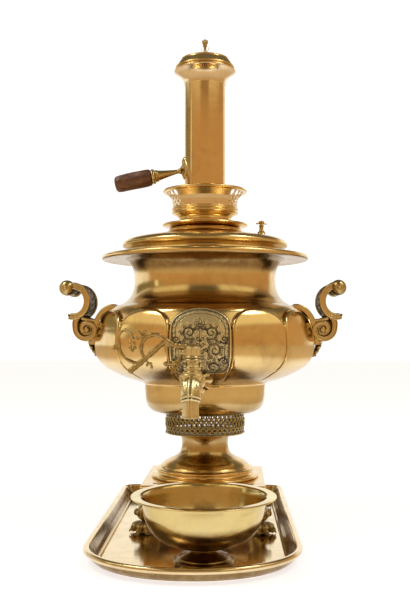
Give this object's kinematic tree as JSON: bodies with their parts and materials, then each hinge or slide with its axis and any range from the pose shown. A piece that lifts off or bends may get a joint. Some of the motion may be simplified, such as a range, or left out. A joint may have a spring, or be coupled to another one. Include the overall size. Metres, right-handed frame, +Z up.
{
  "type": "samovar",
  "caption": "Charcoal-fired brass samovar of vase form with lobed belly, scroll handles, tap with branch key, teapot crown and chimney, standing on a tray with a drip bowl.",
  "frame": {"origin": "on the samovar's vertical axis, in the plane of the table that the tray stands on", "axes": "+Z up along the samovar's axis; the tap points to -Y; +X to the right as seen from the tap"},
  "size_m": [0.3986, 0.4758, 0.672],
  "materials": {
    "polished_brass": "polished, spun and planished sheet",
    "tray_brass": "polished",
    "cast_brass": "cast, worn high spots with dark patina in the recesses",
    "gallery_brass": "pierced, dull patina",
    "sooty_brass": "dark, tinned outside and sooty inside",
    "grate_iron": "sooty",
    "steel": "dull",
    "grip_wood": "dark stained, worn"
  },
  "bodies": {
    "tray_body": {"tray": "tray_brass"},
    "bowl_body": {"drip_bowl": "tray_brass"},
    "samovar_body": {"foot_front_left": "cast_brass", "foot_front_right": "cast_brass", "foot_rear_left": "cast_brass", "foot_rear_right": "cast_brass", "foot_screws": "steel", "plinth": "polished_brass", "pedestal": "polished_brass", "air_gallery": "gallery_brass", "fire_grate": "grate_iron", "base_cup": "polished_brass", "body_shell": "polished_brass", "body_neck": "polished_brass", "rim_flange": "polished_brass", "fire_tube": "sooty_brass", "handle_left": "cast_brass", "handle_right": "cast_brass", "handle_nuts": "steel", "tap_flange": "cast_brass", "tap_body": "cast_brass"},
    "plug_body": {"tap_plug": "cast_brass", "tap_key": "cast_brass", "plug_washer": "cast_brass", "plug_nut": "cast_brass"},
    "lid_body": {"lid": "polished_brass", "lid_collar": "polished_brass", "vent_seat": "cast_brass"},
    "vent_body": {"vent_cap": "cast_brass"},
    "crown_body": {"crown_plate": "polished_brass", "crown_ring": "polished_brass"},
    "chimney_body": {"chimney_pipe": "polished_brass", "chimney_bell": "polished_brass", "pipe_rosette": "cast_brass", "grip_socket": "cast_brass", "grip_ferrule": "polished_brass", "grip_tang": "steel", "wooden_grip": "grip_wood"},
    "cap_body": {"chimney_cap": "polished_brass", "cap_finial": "cast_brass"}
  },
  "joints": [
    {"name": "samovar_lift", "type": "slide", "parent": "tray_body", "child": "samovar_body", "axis": [0, 0, 1], "range_m": [0, 0.12]},
    {"name": "bowl_lift", "type": "slide", "parent": "tray_body", "child": "bowl_body", "axis": [0, 0, 1], "range_m": [0, 0.08]},
    {"name": "tap_turn", "type": "hinge", "parent": "samovar_body", "child": "plug_body", "pos_m": [-0.00718, -0.19587, 0.21], "axis": [0, 0, 1], "range_deg": [0, 90]},
    {"name": "lid_lift", "type": "slide", "parent": "samovar_body", "child": "lid_body", "axis": [0, 0, 1], "range_m": [0, 0.12]},
    {"name": "vent_turn", "type": "hinge", "parent": "lid_body", "child": "vent_body", "pos_m": [0.07788, -0.03147, 0.405], "axis": [0, 0, 1], "range_deg": [-90, 90]},
    {"name": "crown_lift", "type": "slide", "parent": "lid_body", "child": "crown_body", "axis": [0, 0, 1], "range_m": [0, 0.1]},
    {"name": "chimney_lift", "type": "slide", "parent": "crown_body", "child": "chimney_body", "axis": [0, 0, 1], "range_m": [0, 0.1]},
    {"name": "cap_lift", "type": "slide", "parent": "chimney_body", "child": "cap_body", "axis": [0, 0, 1], "range_m": [0, 0.08]}
  ]
}
